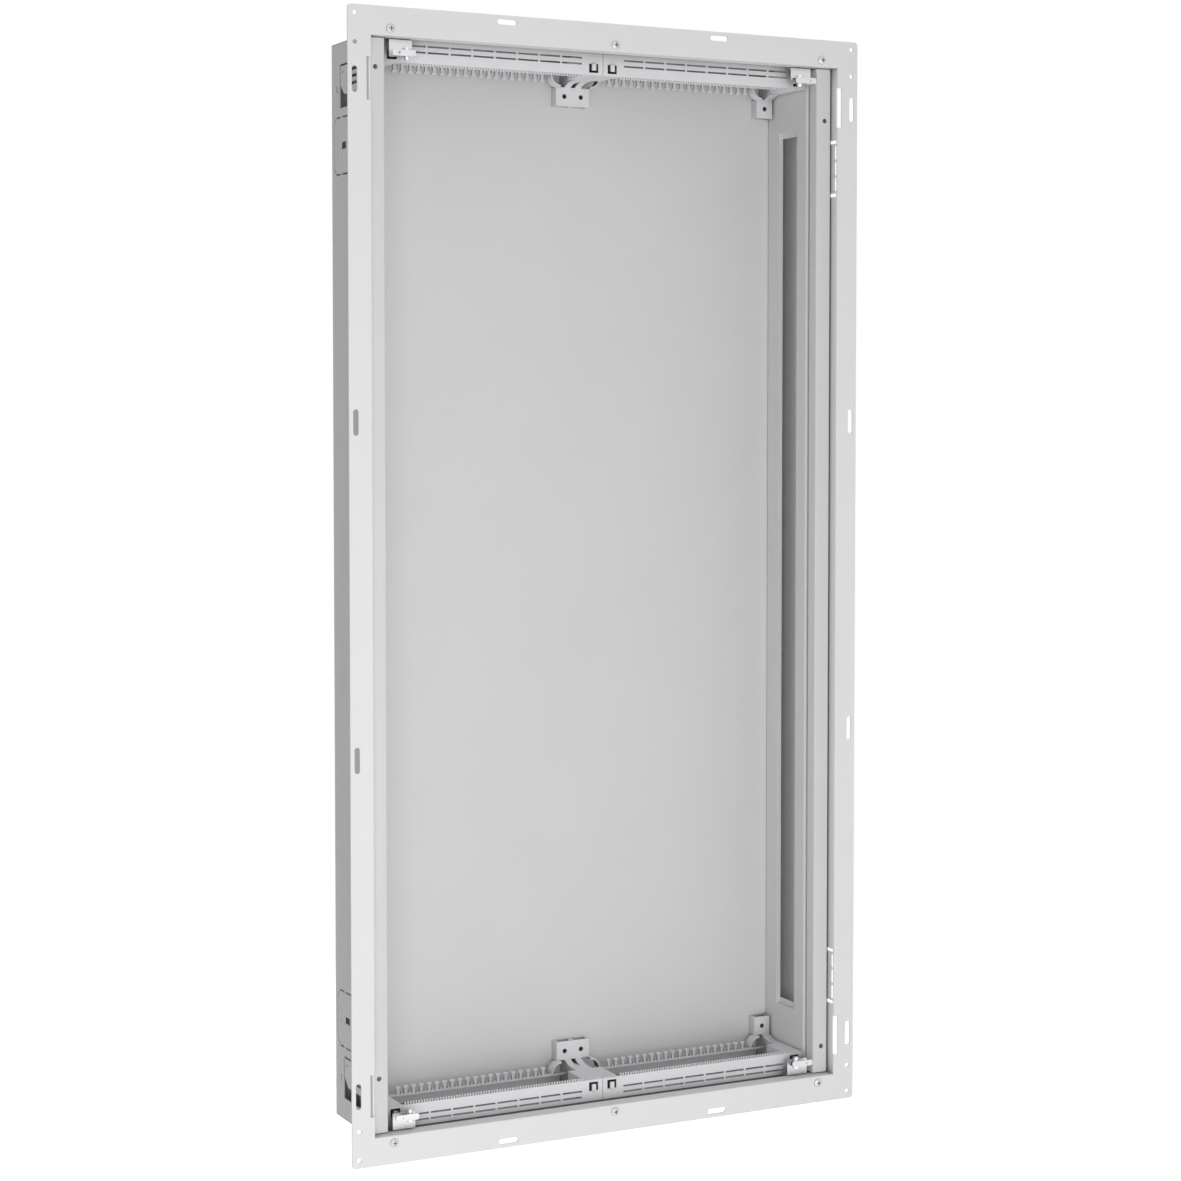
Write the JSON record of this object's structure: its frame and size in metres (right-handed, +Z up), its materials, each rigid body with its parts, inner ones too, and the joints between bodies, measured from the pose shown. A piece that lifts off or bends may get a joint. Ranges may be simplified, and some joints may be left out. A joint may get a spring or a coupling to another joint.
{
  "type": "flush distribution board body",
  "caption": "Open sheet-steel trough for a flush distribution board, with a slotted wall flange, vented cable-entry frames with tie combs and swivel corner catches.",
  "frame": {"origin": "middle of the flange frame's rear face, which lies on the wall", "axes": "+Z up, +Y into the wall, the mouth faces -Y, +X to the right seen from the front"},
  "size_m": [0.574, 0.1136, 1.124],
  "materials": {
    "powder_trough": "fine-textured light grey powder coat",
    "powder_flange": "fine-textured light grey powder coat",
    "powder_liner": "fine-textured light grey powder coat",
    "entry_plastic": "moulded, fine matt grain",
    "catch_zinc": "bright zinc plated",
    "pin_zinc": "bright zinc plated",
    "screw_zinc": "bright zinc plated",
    "galvanised_end": "dull galvanised sheet with a fine spangle"
  },
  "bodies": {
    "board": {"trough_shell": "powder_trough", "end_plate_top": "galvanised_end", "end_plate_bottom": "galvanised_end", "flange_frame": "powder_flange", "side_liner_left": "powder_liner", "side_liner_right": "powder_liner", "frame_screws": "screw_zinc", "entry_frame_top_right": "entry_plastic", "entry_frame_top_left": "entry_plastic", "entry_frame_bottom_right": "entry_plastic", "entry_frame_bottom_left": "entry_plastic", "catch_bracket_top_right": "catch_zinc", "catch_bracket_top_left": "catch_zinc", "catch_bracket_bottom_right": "catch_zinc", "catch_bracket_bottom_left": "catch_zinc", "catch_pin_top_right": "pin_zinc", "catch_pin_top_left": "pin_zinc", "catch_pin_bottom_right": "pin_zinc", "catch_pin_bottom_left": "pin_zinc"},
    "lever_top_right": {"catch_lever_top_right": "catch_zinc"},
    "lever_top_left": {"catch_lever_top_left": "catch_zinc"},
    "lever_bottom_right": {"catch_lever_bottom_right": "catch_zinc"},
    "lever_bottom_left": {"catch_lever_bottom_left": "catch_zinc"}
  },
  "joints": [
    {"name": "catch_turn_top_right", "type": "hinge", "parent": "board", "child": "lever_top_right", "pos_m": [0.222, 0.0085, 0.52], "axis": [0, 0, -1], "range_deg": [0, 60]},
    {"name": "catch_turn_top_left", "type": "hinge", "parent": "board", "child": "lever_top_left", "pos_m": [-0.222, 0.0085, 0.52], "axis": [0, 0, 1], "range_deg": [0, 60]},
    {"name": "catch_turn_bottom_right", "type": "hinge", "parent": "board", "child": "lever_bottom_right", "pos_m": [0.222, 0.0085, -0.52], "axis": [0, 0, -1], "range_deg": [0, 60]},
    {"name": "catch_turn_bottom_left", "type": "hinge", "parent": "board", "child": "lever_bottom_left", "pos_m": [-0.222, 0.0085, -0.52], "axis": [0, 0, 1], "range_deg": [0, 60]}
  ]
}
